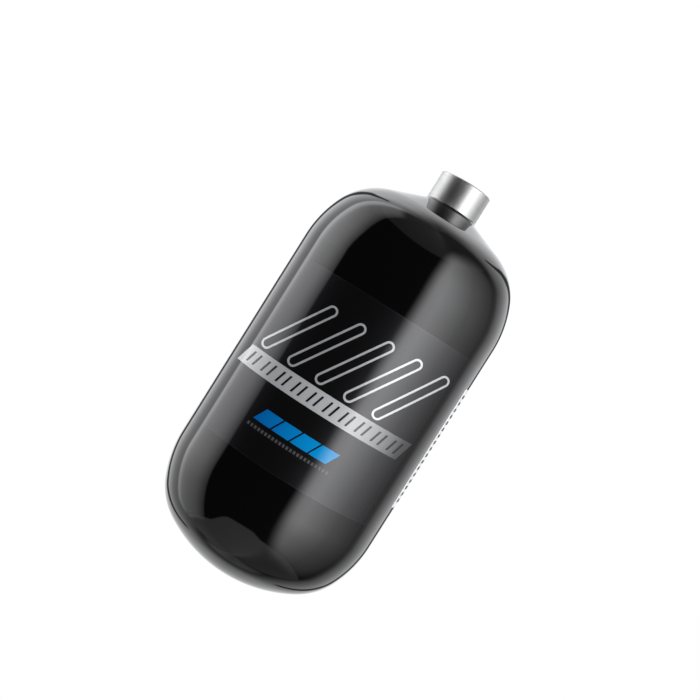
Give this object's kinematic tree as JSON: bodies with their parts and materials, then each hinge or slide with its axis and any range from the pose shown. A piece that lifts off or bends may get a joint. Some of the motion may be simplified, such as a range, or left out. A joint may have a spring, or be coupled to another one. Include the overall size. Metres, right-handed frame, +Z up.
{
  "type": "compressed air cylinder",
  "caption": "Short domed fibre-wound compressed-air cylinder in gloss black with a bright threaded metal neck, a printed label sleeve and a small base flat.",
  "frame": {"origin": "centre of the small flat under the base, which the cylinder stands on", "axes": "+Z up the cylinder's axis through the neck; -Y is the printed front, and the data label is towards +X"},
  "size_m": [0.118, 0.118, 0.2418],
  "materials": {
    "bright_aluminium": "fine turned, bright",
    "glass_laminate": "glass fibre in epoxy",
    "carbon_laminate": "carbon fibre in epoxy",
    "black_lacquer": "high gloss",
    "film": "gloss film",
    "silver_print": "metallic ink",
    "blue_print": "gloss ink",
    "grey_print": "gloss ink",
    "white_label": "satin film",
    "black_print": "ink"
  },
  "bodies": {
    "root": {"liner": "bright_aluminium", "base_spigot": "bright_aluminium", "barrier_ply": "glass_laminate", "carbon_helical_1": "carbon_laminate", "carbon_hoop_1": "carbon_laminate", "carbon_helical_2": "carbon_laminate", "carbon_hoop_2": "carbon_laminate", "carbon_helical_3": "carbon_laminate", "carbon_hoop_3": "carbon_laminate", "glass_overwrap": "glass_laminate", "lacquer_coat": "black_lacquer", "label_film": "film", "silver_band": "silver_print", "silver_capsules": "silver_print", "blue_lozenges": "blue_print", "grey_dashes": "grey_print", "data_label": "white_label", "data_rows": "black_print"}
  },
  "joints": []
}
